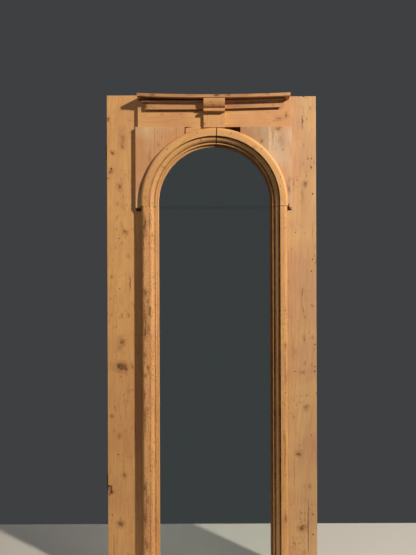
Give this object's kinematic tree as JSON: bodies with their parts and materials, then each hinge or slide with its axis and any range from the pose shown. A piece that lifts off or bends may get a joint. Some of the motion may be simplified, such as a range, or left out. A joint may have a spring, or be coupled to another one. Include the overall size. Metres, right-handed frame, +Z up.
{
  "type": "arched wooden door",
  "caption": "Old stripped-pine arched door with its frame: moulded arch, keystone, cornice and spandrels round a slender glazed leaf that swings back.",
  "frame": {"origin": "middle of the frame's width and of the boards' thickness, on the bottom face of the threshold", "axes": "+X to the right seen from the moulded front, +Y to the back, +Z up"},
  "size_m": [0.904, 0.1071, 2.104],
  "materials": {
    "stripped_pine": "old pine stripped bare, waxed, worn and knotty",
    "leaf_pine": "darker old pine, stripped",
    "window_glass": "clear drawn sheet glass, faintly green",
    "old_iron": "dark wrought iron, lightly rusted"
  },
  "bodies": {
    "frame": {"left_board": "stripped_pine", "right_board": "stripped_pine", "head_rail": "stripped_pine", "left_corner_block": "stripped_pine", "right_corner_block": "stripped_pine", "threshold": "stripped_pine", "bottom_stop_board": "stripped_pine", "frieze_board": "stripped_pine", "left_spandrel_outer": "stripped_pine", "left_spandrel_middle": "stripped_pine", "left_spandrel_inner": "stripped_pine", "left_spandrel_wedge": "stripped_pine", "right_spandrel_inner": "stripped_pine", "right_spandrel_outer": "stripped_pine", "arch_architrave_left": "stripped_pine", "arch_architrave_right": "stripped_pine", "side_architrave_left": "stripped_pine", "side_architrave_right": "stripped_pine", "cornice_top_board": "stripped_pine", "cornice_moulding_left": "stripped_pine", "cornice_moulding_right": "stripped_pine", "keystone": "stripped_pine", "edge_plate_lower": "old_iron", "edge_plate_upper": "old_iron", "edge_plate_screws": "old_iron", "architrave_nails": "old_iron", "lower_hinge_frame_plate": "old_iron", "lower_hinge_pin": "old_iron", "middle_hinge_frame_plate": "old_iron", "middle_hinge_pin": "old_iron", "upper_hinge_frame_plate": "old_iron", "upper_hinge_pin": "old_iron", "frame_hinge_screws": "old_iron", "turn_button_screw": "old_iron"},
    "leaf": {"leaf_stile_left": "leaf_pine", "leaf_stile_right": "leaf_pine", "leaf_head_left": "leaf_pine", "leaf_head_right": "leaf_pine", "leaf_bottom_rail": "leaf_pine", "arch_bead_left": "leaf_pine", "arch_bead_right": "leaf_pine", "side_bead_left": "leaf_pine", "side_bead_right": "leaf_pine", "bottom_bead": "leaf_pine", "upper_pane": "window_glass", "lower_pane": "window_glass", "lower_hinge_leaf_plate": "old_iron", "middle_hinge_leaf_plate": "old_iron", "upper_hinge_leaf_plate": "old_iron", "leaf_hinge_screws": "old_iron"},
    "button": {"turn_button": "stripped_pine"}
  },
  "joints": [
    {"name": "leaf_swing", "type": "hinge", "parent": "frame", "child": "leaf", "pos_m": [-0.2795, 0.0213, 0.86], "axis": [0, 0, 1], "range_deg": [0, 170]},
    {"name": "button_turn", "type": "hinge", "parent": "frame", "child": "button", "pos_m": [0.323, 0.0204, 1], "axis": [0, 1, 0], "range_deg": [0, 90]}
  ]
}
